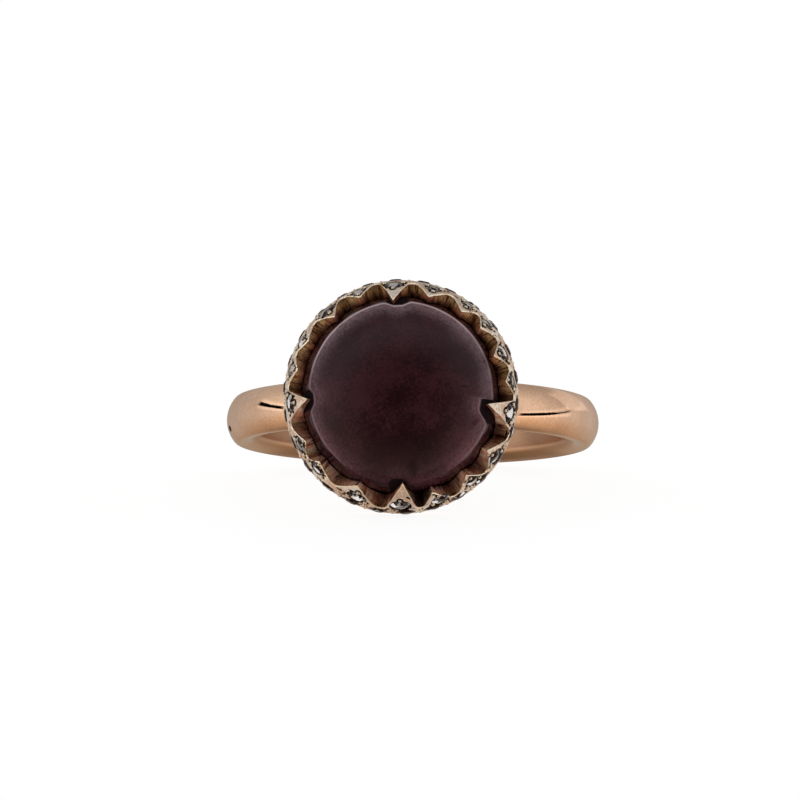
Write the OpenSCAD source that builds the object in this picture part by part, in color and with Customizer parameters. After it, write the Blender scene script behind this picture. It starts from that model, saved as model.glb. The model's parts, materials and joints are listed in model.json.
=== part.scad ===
// Garnet ring: a half-round gold shank with a bowl setting that holds a round cabochon.
// The ring is drawn upright first, in the jeweller's frame: the finger goes through along Y
// and the setting is on top, at +Z. It is then laid on its side, as it rests on a table.

/* [Shank] */
// Inside diameter of the finger hole
finger_d = 17.2; // [16:0.1:20]
// Thickness of the shank, from the finger to the outside
shank_t = 1.9; // [1.5:0.1:2.4]
// Width of the shank along the finger
shank_w = 2.65; // [2.2:0.05:3.2]
// Radius of the half-round outside, across the shank
crown_r = 1.85; // [1.8:0.05:2.6]
// Bevel that eases the two inner edges
inner_bevel = 0.25; // [0.1:0.05:0.4]

/* [Bowl] */
// Radius of the bowl at its widest line
bowl_r = 6.4; // [6.2:0.1:6.8]
// Height of the widest line above the centre of the finger hole
bowl_z = 12; // [11.8:0.1:12.4]
// Radius of the upright curve above the widest line
upper_r = 3.8; // [3.6:0.1:4.2]
// Radius of the upright curve below the widest line
lower_r = 3.3; // [3.2:0.1:3.6]

/* [Garnet] */
// Radius of the cabochon
stone_r = 5.33; // [5.2:0.01:5.4]
// How far the flat base lies below the bowl's widest line
base_drop = 0.9; // [0.8:0.05:1.2]
// Height above the widest line at which the straight side turns into the dome
girdle_z = 1.05; // [0.8:0.05:1.2]
// Height of the dome above the straight side
dome_h = 3.5; // [3.4:0.05:3.8]
// Radius of the dome's shoulder
shoulder_r = 2.4; // [2.2:0.1:2.6]
// Bevel round the edge of the base
base_bevel = 0.25; // [0.1:0.05:0.4]
// Gap between the stone and the gold
seat_gap = 0.05; // [0.03:0.01:0.1]

/* [Flutes] */
// Slope of the floor of a flute, up from level
flute_slope = 53; // [45:1:60]
// Roundness of a flute's floor, as a share of half its width
flute_round = 0.35; // [0.2:0.05:0.8]

/* [Hidden] */
$fn = 96;

gold = [0.84, 0.62, 0.47];
garnet = [0.23, 0.09, 0.11];

// The points of the rim, anticlockwise from the right as the wearer sees them. Each row has
// the point's angle, the radius at its tip, and the radius at the lowest place of the notch
// between it and the next row's point. The four with the least radius at the tip are the prongs.
ANGLE = 0;
TIP = 1;
NOTCH = 2;
points = [
    [-8.5, 4.93, 6.22],
    [6.1, 5.83, 6.11],
    [20.8, 5.51, 6.06],
    [38.4, 5.63, 6.05],
    [52.4, 5.53, 6.03],
    [73.0, 5.41, 6.09],
    [93.7, 4.92, 6.20],
    [112.6, 5.58, 6.16],
    [130.9, 5.36, 6.04],
    [150.8, 5.68, 6.03],
    [167.9, 5.65, 6.08],
    [185.7, 4.94, 6.15],
    [208.4, 5.72, 6.08],
    [221.6, 5.73, 6.10],
    [246.9, 5.56, 6.27],
    [273.4, 5.06, 6.28],
    [288.8, 5.75, 6.28],
    [309.2, 5.81, 6.29],
    [326.9, 5.76, 6.32],
];

// Steps along a curve that is drawn as short straight faces
arc_steps = 12;
// How far a cutter runs on past what it cuts, and raw stock past where it is cut back
overcut = 2;
// Height of a flute cutter, enough to clear the raw rim above it
cutter_h = 5;
// How far a flute cutter's slanting sides run on past the tips beside it, before they turn
// upright so as not to reach the next points
tip_clear = 0.2;

finger_r = finger_d / 2;
ring_r = finger_r + shank_t;
upper_c = bowl_r - upper_r;
lower_c = bowl_r - lower_r;

// The dome is two arcs that meet smoothly: a shoulder, and a flatter cap over it.
shoulder_c = stone_r - shoulder_r;
cap_r = (pow(shoulder_c, 2) + pow(dome_h, 2) - pow(shoulder_r, 2)) / (2 * (dome_h - shoulder_r));
cap_c = girdle_z + dome_h - cap_r;
cap_angle = atan2(girdle_z - cap_c, shoulder_c);

// Laid on its side, the ring touches the table with the bowl's belly and with the edge of the
// shank opposite. The tilt is the one at which both are equally far below the hole's centre.
edge_y = shank_w / 2;
edge_r = ring_r - crown_r + sqrt(pow(crown_r, 2) - pow(edge_y, 2));
tilt = asin(lower_r / norm([bowl_z + edge_r, lower_c - edge_y]))
    + atan2(lower_c - edge_y, bowl_z + edge_r);
hole_z = edge_y * cos(tilt) + edge_r * sin(tilt);

// Half the difference between how far the dome and the back of the shank reach
dome_reach = (bowl_z + cap_c) * cos(tilt) + cap_r;
back_reach = (ring_r - crown_r) * cos(tilt) + crown_r;
hole_y = (dome_reach - back_reach) / 2;

// Points along an arc, from one angle to another. An arc that carries on from another leaves
// out its first point, which is the other's last.
function arc(c, r, from, to, first = 0) = [
    for (i = [first:arc_steps])
        let (a = from + (to - from) * i / arc_steps) c + r * [cos(a), sin(a)]
];

// Height of the bowl's outside above its widest line, at a radius
function wall_z(r) = sqrt(pow(upper_r, 2) - pow(r - upper_c, 2));

// Half the garnet's outline, or that of the space round it when it is grown by the gap
function stone_outline(grow, bevel) = concat(
    [
        [0, -base_drop - grow],
        [stone_r + grow - bevel, -base_drop - grow],
        [stone_r + grow, -base_drop - grow + bevel],
    ],
    arc([shoulder_c, girdle_z], shoulder_r + grow, 0, cap_angle),
    arc([0, cap_c], cap_r + grow, cap_angle, 90, 1)
);

// How far a flute's side leans out, so that it runs straight from the flute's round floor to
// the tip of the point beside it. The tip is given across the flute and up from its floor.
function side_lean(tip, r) =
    2 * atan((sqrt(pow(tip.y - r, 2) + pow(tip.x, 2) - pow(r, 2)) - tip.y + r) / (tip.x + r));

// The tip of a point as seen along a flute that is a given angle away
function tip_in_flute(tip_r, away, notch_r) = [
    tip_r * sin(away),
    (notch_r - tip_r * cos(away)) * sin(flute_slope)
        + (wall_z(tip_r) - wall_z(notch_r)) * cos(flute_slope)
];

// Lays the ring on its side with its widest extents about the origin
module lay_down() {
    translate([0, hole_y, hole_z]) rotate([90 - tilt, 0, 0]) children();
}

module shank_blank() {
    rotate([90, 0, 0]) rotate_extrude() difference() {
        intersection() {
            translate([ring_r - crown_r, 0]) circle(crown_r);
            translate([finger_r - overcut, -shank_w / 2])
                square([shank_t + 2 * overcut, shank_w]);
        }
        for (side = [-1, 1])
            translate([finger_r, side * shank_w / 2])
                rotate(45) square(inner_bevel * sqrt(2), center = true);
    }
}

module bowl_blank() {
    translate([0, 0, bowl_z]) rotate_extrude() {
        intersection() {
            translate([upper_c, 0]) circle(upper_r);
            translate([upper_c, 0]) square(upper_r + overcut);
        }
        intersection() {
            translate([lower_c, 0]) circle(lower_r);
            translate([lower_c, -lower_r - overcut]) square(lower_r + overcut);
        }
        square([upper_c, upper_r]);
        translate([0, -lower_r]) square([lower_c, lower_r]);
    }
}

module finger_bore() {
    rotate([90, 0, 0]) cylinder(h = 2 * (bowl_r + overcut), r = finger_r, center = true);
}

module stone_space() {
    translate([0, 0, bowl_z]) rotate_extrude() polygon(stone_outline(seat_gap, 0));
}

// One flute of the rim, cut between two neighbouring points
module flute_cutter(here, next, next_angle) {
    half = (next_angle - here[ANGLE]) / 2;
    notch_r = here[NOTCH];
    tip_a = tip_in_flute(here[TIP], half, notch_r);
    tip_b = tip_in_flute(next[TIP], half, notch_r);
    floor_r = flute_round * min(tip_a.x, tip_b.x);
    lean_a = side_lean(tip_a, floor_r);
    lean_b = side_lean(tip_b, floor_r);
    inward = (notch_r - stone_r + seat_gap) / cos(flute_slope);
    past_a = tip_a + tip_clear * [sin(lean_a), cos(lean_a)];
    past_b = tip_b + tip_clear * [sin(lean_b), cos(lean_b)];
    outline = concat(
        arc([0, floor_r], floor_r, 180 + lean_a, 360 - lean_b),
        [past_b, [past_b.x, cutter_h], [-past_a.x, cutter_h], [-past_a.x, past_a.y]]
    );
    rotate(here[ANGLE] + half)
        translate([notch_r, 0, bowl_z + wall_z(notch_r)])
            rotate([0, -flute_slope, 0])
                translate([-inward, 0, 0])
                    rotate([90, 0, 90])
                        linear_extrude(inward + overcut) polygon(outline);
}

module flutes() {
    for (i = [0:len(points) - 1]) {
        next = points[(i + 1) % len(points)];
        turn = i + 1 < len(points) ? 0 : 360;
        flute_cutter(points[i], next, next[ANGLE] + turn);
    }
}

// The shank and the bowl, soldered into one piece and then bored, recessed and fluted
module gold_mount() {
    color(gold) lay_down() difference() {
        union() {
            shank_blank();
            bowl_blank();
        }
        finger_bore();
        stone_space();
        flutes();
    }
}

// The cabochon: a flat base, a short straight side and a high dome
module garnet_cabochon() {
    color(garnet) lay_down()
        translate([0, 0, bowl_z]) rotate_extrude() polygon(stone_outline(0, base_bevel));
}

gold_mount();
garnet_cabochon();
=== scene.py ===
# %% [markdown]
# # A garnet ring in rose gold
# The ring is a polished half-round band with a round bowl soldered to its top. The bowl's rim
# is cut into nineteen points round a dark domed garnet, and two rows of small diamonds are set
# into the outside of the bowl. Each mesh here is worked out from sizes that a goldsmith would
# know, and is laid where the frame says that the ring lies.

# %% Open the frame
import json
import math

import bmesh
import bpy
import numpy as np
from mathutils import Matrix, Vector


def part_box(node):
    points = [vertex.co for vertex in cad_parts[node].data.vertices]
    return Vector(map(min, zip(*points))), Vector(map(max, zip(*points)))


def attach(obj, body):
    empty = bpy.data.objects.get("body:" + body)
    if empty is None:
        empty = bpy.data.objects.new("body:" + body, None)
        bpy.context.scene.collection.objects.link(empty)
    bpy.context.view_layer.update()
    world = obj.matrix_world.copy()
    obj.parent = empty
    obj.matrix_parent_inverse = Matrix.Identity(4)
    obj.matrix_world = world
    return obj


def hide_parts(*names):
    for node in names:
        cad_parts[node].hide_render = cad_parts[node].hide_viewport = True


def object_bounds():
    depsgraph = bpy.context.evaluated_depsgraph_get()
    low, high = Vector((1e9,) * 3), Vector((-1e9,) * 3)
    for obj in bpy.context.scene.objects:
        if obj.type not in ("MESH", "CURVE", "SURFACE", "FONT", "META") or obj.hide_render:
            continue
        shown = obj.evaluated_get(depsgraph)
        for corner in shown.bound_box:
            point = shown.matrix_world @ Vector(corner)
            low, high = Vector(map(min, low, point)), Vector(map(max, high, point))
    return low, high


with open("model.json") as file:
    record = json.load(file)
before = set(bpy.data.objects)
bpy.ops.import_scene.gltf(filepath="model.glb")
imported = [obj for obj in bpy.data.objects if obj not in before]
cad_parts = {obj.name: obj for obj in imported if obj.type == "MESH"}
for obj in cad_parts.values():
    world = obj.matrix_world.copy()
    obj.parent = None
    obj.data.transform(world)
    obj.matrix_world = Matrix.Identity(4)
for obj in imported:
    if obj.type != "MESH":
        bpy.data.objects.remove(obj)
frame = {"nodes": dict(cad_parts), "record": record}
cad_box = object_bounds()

box_in_mm = [round(1000 * v, 2) for corner in cad_box for v in corner]
print("nodes", sorted(frame["nodes"]), "box in mm", box_in_mm)

# %% [markdown]
# A ring is easiest to draw upright: the finger goes through along Y and the setting is on top,
# along Z. Here the ring lies on its side on a table, so everything is drawn upright in
# millimetres and then laid down. The finger hole in the frame's record gives the place and the
# lean, so the meshes need no fitting afterwards.

# %% From the upright ring to the ring on the table
MM = 0.001
hole = frame["record"]["mounts"][0]
hole_centre = np.array(hole["pos_m"])
finger_axis = np.array(hole["axis"])
head_axis = np.array([0, -finger_axis[2], finger_axis[1]])
upright_axes = np.array([[1, 0, 0], finger_axis, head_axis])


def turn_down(directions):
    """Directions of the upright ring, turned as the ring lies."""
    return np.asarray(directions, float) @ upright_axes


def lay_down(points):
    """Points of the upright ring in mm, laid on the table in metres."""
    return hole_centre + MM * turn_down(points)


print("leaning back", round(math.degrees(math.asin(finger_axis[1])), 2), "degrees")

# %% [markdown]
# A goldsmith notes the ring in a dozen sizes. The finger hole's radius comes with the frame, and
# the garnet is measured there too. The rest are the radii of the curves that make the outlines,
# and the heights count from the bowl's widest line.

# %% Sizes of the ring, in mm
finger_r = hole["dims"]["r_mm"]
shank_t = 1.9
shank_w = 2.65
crown_r = 1.85

bowl_r = 6.4
bowl_z = 12.0
upper_r = 3.8
lower_r = 3.3
upper_c = bowl_r - upper_r
lower_c = bowl_r - lower_r

garnet_low, garnet_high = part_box("garnet_cabochon")
stone_r = (garnet_high.x - garnet_low.x) / 2 / MM
base_drop = 0.9
base_bevel = 0.25
girdle_z = 1.05
dome_h = 3.5
shoulder_r = 2.4
seat_gap = 0.05
print("garnet is", round(2 * stone_r, 2), "mm across")

# %% [markdown]
# Most meshes here are a grid of points, in rings that close on themselves. The ends of a grid
# are closed with a fan of triangles, or joined to each other, so that each piece is a
# watertight body, as the real one is. Modifiers could make such shapes too, but writing the
# points with numpy keeps the formulas in sight and is quick.

# %% Grid of points to mesh
def closed_grid(rings, first_pole=None, last_pole=None):
    """Points and faces of rings of points, with a pole at either end or the ends joined."""
    n_rings, n_cols = rings.shape[:2]
    points = rings.reshape(-1, 3)
    index = np.arange(n_rings * n_cols).reshape(n_rings, n_cols)
    if first_pole is None:
        index = np.vstack([index, index[:1]])
    here, beyond = index[:-1], index[1:]
    quads = np.stack([here, np.roll(here, -1, 1), np.roll(beyond, -1, 1), beyond], -1)
    faces = quads.reshape(-1, 4).tolist()
    if first_pole is not None:
        points = np.vstack([points, [first_pole, last_pole]])
        low, high = len(points) - 2, len(points) - 1
        faces += [(low, b, a) for a, b in zip(index[0], np.roll(index[0], -1))]
        faces += [(high, a, b) for a, b in zip(index[-1], np.roll(index[-1], -1))]
    return points, faces


def make_piece(name, points, faces, sharp_angle=None):
    """A mesh object in the ring's place. Edges steeper than the angle stay crisp."""
    mesh = bpy.data.meshes.new(name)
    mesh.from_pydata(lay_down(points).tolist(), [], faces)
    mesh.shade_smooth()
    if sharp_angle:
        mesh.set_sharp_from_angle(angle=math.radians(sharp_angle))
    piece = bpy.data.objects.new(name, mesh)
    bpy.context.scene.collection.objects.link(piece)
    mesh.validate()
    mesh.calc_loop_triangles()
    print(name, len(mesh.loop_triangles), "triangles")
    return piece


# %% [markdown]
# The rim of the bowl was cut by hand, so no two of its points are alike. Each row below is one
# point, anticlockwise from the right: its angle, the radius at its tip, and the radius at the
# lowest place of the notch that follows it. Four points reach further in and are the prongs.

# %% The points of the rim
ANGLE, TIP, NOTCH = 0, 1, 2
rim_points = np.array([
    [-8.5, 4.93, 6.22],
    [6.1, 5.83, 6.11],
    [20.8, 5.51, 6.06],
    [38.4, 5.63, 6.05],
    [52.4, 5.53, 6.03],
    [73.0, 5.41, 6.09],
    [93.7, 4.92, 6.20],
    [112.6, 5.58, 6.16],
    [130.9, 5.36, 6.04],
    [150.8, 5.68, 6.03],
    [167.9, 5.65, 6.08],
    [185.7, 4.94, 6.15],
    [208.4, 5.72, 6.08],
    [221.6, 5.73, 6.10],
    [246.9, 5.56, 6.27],
    [273.4, 5.06, 6.28],
    [288.8, 5.75, 6.28],
    [309.2, 5.81, 6.29],
    [326.9, 5.76, 6.32],
])
n_points = len(rim_points)
next_angle = np.append(rim_points[1:, ANGLE], rim_points[0, ANGLE] + 360)
flute_mid = (rim_points[:, ANGLE] + next_angle) / 2
flute_half = np.radians(next_angle - rim_points[:, ANGLE]) / 2
notch_r = rim_points[:, NOTCH]
print(n_points, "points, the notches", np.degrees(2 * flute_half).round(1), "degrees wide")

# %% [markdown]
# Between two points a graver has cut a flute: a trough that slopes up and outward through the
# notch, with a narrow round floor and straight sides that run up to the two tips, and end just
# past them. The height of such a trough over any place of the rim is one formula, so the crown
# needs no Boolean cuts, and its edges fall exactly where two troughs meet.

# %% The shape of a flute
flute_slope = math.radians(53)
flute_round = 0.35
tip_clear = 0.2


def wall_z(r):
    """Height of the bowl's outside above its widest line, at a radius."""
    return np.sqrt(upper_r**2 - (r - upper_c) ** 2)


def side_lean(across, up, floor_r):
    """How far a flute's side leans out to reach a tip, from the floor's round."""
    reach = np.sqrt((up - floor_r) ** 2 + across**2 - floor_r**2)
    return 2 * np.arctan((reach - up + floor_r) / (across + floor_r))


def tip_in_flute(tip_r):
    """A tip as seen along the flute beside it: across, and up from the floor."""
    back = notch_r - tip_r * np.cos(flute_half)
    rise = wall_z(tip_r) - wall_z(notch_r)
    return tip_r * np.sin(flute_half), back * np.sin(flute_slope) + rise * np.cos(flute_slope)


tip_before = tip_in_flute(rim_points[:, TIP])
tip_after = tip_in_flute(np.roll(rim_points[:, TIP], -1))
floor_r = flute_round * np.minimum(tip_before[0], tip_after[0])
lean_before = side_lean(*tip_before, floor_r)
lean_after = side_lean(*tip_after, floor_r)
print("flute floors", floor_r.round(2), "mm in radius")

# %% [markdown]
# The graver leaves its strokes side by side, each a little hollow and a little tilted. They
# catch the light one by one, which is what makes the cut gold glitter. They are part of the
# shape here, so the rim is nicked too where two strokes meet. Only the finest of them are
# left to a bump in the material.

# %% Graver strokes
cutting = np.random.default_rng(7)
n_strokes = 40
stroke_w = cutting.uniform(0.05, 0.15, (n_points, n_strokes))
stroke_edge = np.cumsum(stroke_w, 1) - stroke_w.sum(1, keepdims=True) / 2
stroke_tilt = cutting.normal(0, 0.34, (n_points, n_strokes))
stroke_hollow = cutting.uniform(0.08, 0.2, (n_points, n_strokes))


def graver_strokes(flute, across):
    """Height that the strokes add to a flute's trough, in mm."""
    stroke = (across[..., None] > stroke_edge[flute]).sum(-1).clip(0, n_strokes - 1)
    width = stroke_w[flute, stroke]
    part = 1 + (across - stroke_edge[flute, stroke]) / width
    hollow = 4 * part * (part - 1) * stroke_hollow[flute, stroke]
    return width * (stroke_tilt[flute, stroke] * (part - 0.5) + hollow)


print("strokes", stroke_w.min().round(2), "to", stroke_w.max().round(2), "mm wide")

# %% [markdown]
# The crown is what is left when every flute has been cut, so at each place of the rim its
# height is that of the lowest trough. Where this surface meets the outside of the bowl lies the
# rim, and halving an interval again and again finds that meeting for all columns at once.

# %% The height of the cut crown
halvings = 40


def flute_height(flute, r, angle):
    """Height of one flute's cut over a place of the rim."""
    away = np.radians((angle - flute_mid[flute] + 180) % 360 - 180)
    across, along = r * np.sin(away), r * np.cos(away)
    lean = np.where(across < 0, lean_before[flute], lean_after[flute])
    turn = floor_r[flute] * np.cos(lean)
    off = np.abs(across)
    on_floor = floor_r[flute] - np.sqrt(np.maximum(floor_r[flute] ** 2 - off**2, 0))
    on_side = floor_r[flute] * (1 - np.sin(lean)) + (off - turn) / np.tan(lean)
    trough = np.where(off < turn, on_floor, on_side) + graver_strokes(flute, across)
    start = wall_z(notch_r[flute]) + (along - notch_r[flute]) * np.tan(flute_slope)
    tip_across = np.where(across < 0, tip_before[0][flute], tip_after[0][flute])
    past_tip = off > tip_across + tip_clear * np.sin(lean)
    return np.where(past_tip, bowl_r, start + trough / np.cos(flute_slope))


def cut_height(flute, r, angle):
    """The lowest of a flute and its two neighbours, which is what the gravers leave."""
    return np.minimum.reduce([
        flute_height((flute + step) % n_points, r, angle) for step in (-1, 0, 1)
    ])


def halve_until_zero(grows, low, high):
    """Where a growing function passes zero, for all columns at once."""
    for _ in range(halvings):
        middle = (low + high) / 2
        below = grows(middle) < 0
        low, high = np.where(below, middle, low), np.where(below, high, middle)
    return (low + high) / 2


print("a meeting is found to", bowl_r / 2**halvings, "mm")

# %% [markdown]
# The bowl is one grid of columns and rows. A column runs from under the bowl up its outside,
# over the rim, down the flute and along the garnet's seat. Columns lie closer together beside
# the points, where the edges are sharp.

# %% Columns round the bowl
n_columns = 950
crowding = 0.35
within_tips = 4.5


def column_angles(i):
    """Angles of the columns between one point of the rim and the next, in degrees."""
    count = round(n_columns * flute_half[i] / math.pi)
    t = np.arange(count) / count
    t -= crowding * np.sin(2 * np.pi * t) / (2 * np.pi)
    return rim_points[i, ANGLE] + t * np.degrees(2 * flute_half[i])


angle = np.concatenate([column_angles(i) for i in range(n_points)])
flute = np.concatenate([np.full(len(column_angles(i)), i) for i in range(n_points)])
rim_r = halve_until_zero(
    lambda r: cut_height(flute, r, angle) - wall_z(r),
    np.full(len(angle), within_tips), np.full(len(angle), bowl_r),
)
rim_z = wall_z(rim_r)
print(len(angle), "columns; the rim's radius", rim_r.min().round(2), "to", rim_r.max().round(2))

# %% [markdown]
# The garnet sits in a recess with a straight wall, which curves in over the stone's shoulder
# under the prongs. Where a flute cuts deeper than the recess reaches, the wall simply starts
# lower, and the stone's side shows in the notch.

# %% Where each flute meets the garnet's recess
recess_r = stone_r + seat_gap
shoulder_c = stone_r - shoulder_r
recess_shoulder = shoulder_r + seat_gap
recess_z = -base_drop - seat_gap
within_prongs = 4.4
touching = 0.001


def recess_height(r):
    """Height of the recess over the stone's shoulder."""
    return girdle_z + np.sqrt(np.maximum(recess_shoulder**2 - (r - shoulder_c) ** 2, 0))


inner_r = halve_until_zero(
    lambda r: cut_height(flute, r, angle) - recess_height(r),
    np.full(len(angle), within_prongs), np.full(len(angle), recess_r),
)
inner_z = np.where(
    inner_r > recess_r - touching, cut_height(flute, inner_r, angle), recess_height(inner_r)
)
print("the seat's wall starts", inner_z.min().round(2), "to", inner_z.max().round(2), "mm up")

# %% [markdown]
# The bowl carries two rows of diamonds. In the upper row each point has one, as large as the
# point allows, so its rows are listed one by one: angle, height above the widest line and
# diameter.
# The lower row is even, with twenty-six alike stones just above the widest line.

# %% Where the diamonds sit
upper_row = [
    [6.6, 1.35, 0.85],
    [21.6, 1.50, 1.00],
    [39.0, 1.45, 0.80],
    [53.0, 1.45, 0.78],
    [72.7, 1.55, 0.90],
    [93.7, 1.68, 1.10],
    [112.6, 1.55, 0.90],
    [131.6, 1.50, 1.20],
    [151.8, 1.45, 0.85],
    [167.6, 1.48, 0.85],
    [185.4, 1.66, 1.05],
    [207.9, 1.45, 1.08],
    [223.0, 1.50, 0.95],
    [247.9, 1.35, 1.08],
    [270.9, 1.30, 1.12],
    [291.6, 1.12, 1.05],
    [310.2, 1.08, 0.90],
    [327.0, 1.00, 1.00],
    [350.3, 1.38, 1.10],
]
lower_count, lower_first, lower_z, lower_d = 26, 10.0, 0.33, 0.95
lower_row = [[lower_first + i * 360 / lower_count, lower_z, lower_d] for i in range(lower_count)]
print(len(upper_row), "diamonds above and", len(lower_row), "below")

# %% [markdown]
# The outside of the bowl is turned from two arcs, so a place on it is given by its angle round
# the bowl and by how far the outward direction rises there. A seat keeps its place and
# directions with its stone's radius and lean and the beads that hold it. The drilling, the
# stone and the beads all start from the same seat, so they agree.

# %% Places and seats on the outside
def on_bowl(angle_deg, slope):
    """Place and outward direction on the bowl's outside, where that direction rises so far."""
    a, s = np.radians(angle_deg), np.asarray(slope, float)
    bulge = np.where(s < 0, lower_r, upper_r)
    core = np.where(s < 0, lower_c, upper_c)
    out = np.stack([np.cos(a) * np.cos(s), np.sin(a) * np.cos(s), np.sin(s)], -1)
    r, z = core + bulge * np.cos(s), bulge * np.sin(s)
    return np.stack([r * np.cos(a), r * np.sin(a), bowl_z + z], -1), out


class Seat:
    """The seat of one small diamond: its place, directions, radius, lean and beads."""

    def __init__(self, angle_deg, height, diameter, lean, beads):
        slope = math.asin(height / upper_r)
        self.place, self.out = on_bowl(angle_deg, slope)
        a = math.radians(angle_deg)
        self.along = np.array([-math.sin(a), math.cos(a), 0])
        self.up = np.cross(self.out, self.along)
        self.r = diameter / 2
        self.lean = lean
        self.beads = beads

    def point(self, along, up, out):
        """A place beside the seat's middle, given in its own directions."""
        return self.place + along * self.along + up * self.up + out * self.out


print("the outside has radii of", upper_r, "mm above its widest line and", lower_r, "below")

# %% [markdown]
# The upper stones lean outward a little, and each has three beads: one on the tip's side and
# two below it. They were set by eye, so their angles and sizes vary by chance. One stone at the
# bottom, on the lowest prong, kept only the bead on its tip's side. The lower stones stand
# straight and share two beads with each neighbour.

# %% Seats with their beads
setting = np.random.default_rng(3)
bead_reach = 0.03
bead_turn = 9
upper_bead_r, lower_bead_r = (0.09, 0.12), (0.1, 0.13)


def round_beads(diameter, bead_angles=(90, 205, 335)):
    """Beads round an upper stone as (along, up, radius), one for each angle."""
    beads = []
    for bead_angle in bead_angles:
        a = math.radians(bead_angle + setting.uniform(-bead_turn, bead_turn))
        reach = diameter / 2 + bead_reach
        beads.append((reach * math.cos(a), reach * math.sin(a), setting.uniform(*upper_bead_r)))
    return beads


upper_lean = math.radians(10)
upper_seats = [
    Seat(row_angle, height, diameter, upper_lean, round_beads(diameter))
    for row_angle, height, diameter in upper_row
]
lone_stone = 14
upper_seats[lone_stone].beads = round_beads(upper_row[lone_stone][2], bead_angles=(90,))
bead_step = math.pi * bowl_r / lower_count
shared_bead_up = 0.3
lower_seats = [
    Seat(*row, 0, [
        (bead_step, side * shared_bead_up, setting.uniform(*lower_bead_r)) for side in (-1, 1)
    ])
    for row in lower_row
]
all_seats = upper_seats + lower_seats
print(sum(len(seat.beads) for seat in all_seats), "beads for", len(all_seats), "stones")

# %% [markdown]
# A seat is drilled a little wider than its stone, which leaves the fine dark line round each
# diamond. The upper stones lean outward, so their seats run in deeper on the side away from the
# tip. Each bead was pushed up by a graver, which left a short curved gouge behind it. All this
# is pressed into the grid, so the gold has real holes that the light falls into.

# %% Press the seats into the outside
hole_margin = 0.06
hole_edge = 0.04
hole_depth = 0.36
rim_of_hole = 0.22
gouge_depth = 0.13
gouge_half_w = 0.05
seat_reach = 2.2


def smooth_step(low, high, x):
    """0 below low, 1 above high and an even turn between them."""
    t = np.clip((x - low) / (high - low), 0, 1)
    return t * t * (3 - 2 * t)


def gouge(along, up, bead):
    """The curved mark behind one bead, from 0 to 1."""
    bead_along, bead_up, bead_r = bead
    off_along, off_up = along - bead_along, up - bead_up
    away = (off_along * bead_along + off_up * bead_up) / math.hypot(bead_along, bead_up)
    ring = (np.hypot(off_along, off_up) - bead_r - gouge_half_w) / gouge_half_w
    return np.exp(-(ring**2)) * smooth_step(0, 0.5 * bead_r, away)


def pressed_in(points, seat):
    """How deep one seat presses into the gold at each of some points."""
    off = points - seat.place
    along, up = off @ seat.along, off @ seat.up
    spread = np.hypot(along, up)
    drill = smooth_step(seat.r + hole_margin, seat.r + hole_margin - hole_edge, spread)
    bottom = (hole_depth - rim_of_hole) * np.clip(1 - spread / seat.r, 0, 1)
    depth = drill * (rim_of_hole + bottom - up * math.tan(seat.lean))
    for bead in seat.beads:
        depth = np.maximum(depth, gouge_depth * gouge(along, up, bead))
    return np.where(np.abs(off @ seat.out) < seat.r, depth, 0)


def pressed(points):
    """How deep the gold is pressed in by all the seats."""
    depth = np.zeros(points.shape[:-1])
    for seat in all_seats:
        near = np.linalg.norm(points - seat.place, axis=-1) < seat_reach * seat.r
        depth[near] = np.maximum(depth[near], pressed_in(points[near], seat))
    return depth


print("seats", hole_depth, "mm deep, with a margin of", hole_margin)

# %% [markdown]
# Between the stones the gold is peppered with the small nicks of the beading tool, and no part
# of the outside is quite smooth. The nicks are scattered by chance over the band that carries
# the stones, each a short dent that runs its own way.

# %% Nicks between the stones
n_nicks = 520
nick_reach = 2.5
nick_angle = setting.uniform(0, 360, n_nicks)
nick_slope = setting.uniform(-0.14, 0.62, n_nicks)
nick_place = on_bowl(nick_angle, nick_slope)[0]
nick_turn = setting.uniform(0, math.pi, n_nicks)
nick_length = setting.uniform(0.07, 0.16, n_nicks)
nick_width = setting.uniform(0.05, 0.085, n_nicks)
nick_depth = setting.uniform(0.06, 0.15, n_nicks)


def nicked(points):
    """How deep the nicks press into the gold."""
    depth = np.zeros(points.shape[:-1])
    for i in range(n_nicks):
        near = np.linalg.norm(points - nick_place[i], axis=-1) < nick_reach * nick_length[i]
        off = points[near] - nick_place[i]
        a = math.radians(nick_angle[i])
        along = off @ np.array([-math.sin(a), math.cos(a), 0])
        up = off[:, 2] / math.cos(nick_slope[i])
        c, s = math.cos(nick_turn[i]), math.sin(nick_turn[i])
        long, short = c * along + s * up, c * up - s * along
        dent = np.exp(-((long / nick_length[i]) ** 2) - (short / nick_width[i]) ** 2)
        depth[near] = np.maximum(depth[near], nick_depth[i] * dent)
    return depth


print(n_nicks, "nicks, up to", nick_depth.max().round(2), "mm deep")

# %% [markdown]
# Along the rim the setter has burnished a narrow bevel, which shows in the light as the thin
# bright line on every arch. It was rubbed by hand, so its width wavers. It leans less at the top
# of the ring than at the bottom, so that the line is about as bright all round when it is seen
# from a little below, as in the picture.

# %% The bevel along the rim
bevel_middle_w, unevenness = 0.095, 0.15
bevel_waves = ((31, 0.4), (47, 2.1), (83, 4.0))
waver = sum(np.sin(np.radians(waves * angle) + phase) for waves, phase in bevel_waves)
bevel_w = bevel_middle_w * (1 + unevenness * waver)
middle_lean, lean_change = 34, 7
bevel_lean = np.radians(middle_lean - lean_change * np.sin(np.radians(angle)))
print("bevel", bevel_w.min().round(2), "to", bevel_w.max().round(2), "mm wide")

# %% [markdown]
# Now the rows. The outside is two arcs that meet at the widest line. Rows lie closer together
# from there up, where the stones are, so that the small seats and nicks keep their shape.
# Nothing is pressed in on the bevel itself, which was rubbed last.

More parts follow.
